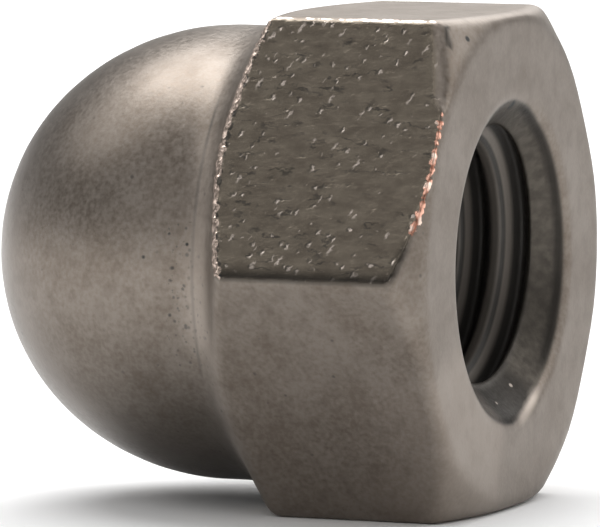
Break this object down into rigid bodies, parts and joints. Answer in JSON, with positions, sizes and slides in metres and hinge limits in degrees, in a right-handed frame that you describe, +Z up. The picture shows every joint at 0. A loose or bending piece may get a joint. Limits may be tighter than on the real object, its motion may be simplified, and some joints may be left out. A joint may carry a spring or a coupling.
{
  "type": "cap nut",
  "caption": "Hexagonal nut closed by a rounded dome, with a blind threaded hole that opens in its flat seat.",
  "frame": {"origin": "on the surface the nut lies on, below the middle of its length and width", "axes": "+X out of the hole's mouth along the thread's axis, +Z up, square to the flat that the nut lies on"},
  "size_m": [0.0184, 0.0196, 0.017],
  "materials": {
    "tumbled_steel": "stainless steel, tumbled to a satin grey-brown, with a dark, glossy, pitted skin left on one flat"
  },
  "bodies": {
    "root": {"cap_nut": "tumbled_steel"}
  },
  "joints": []
}
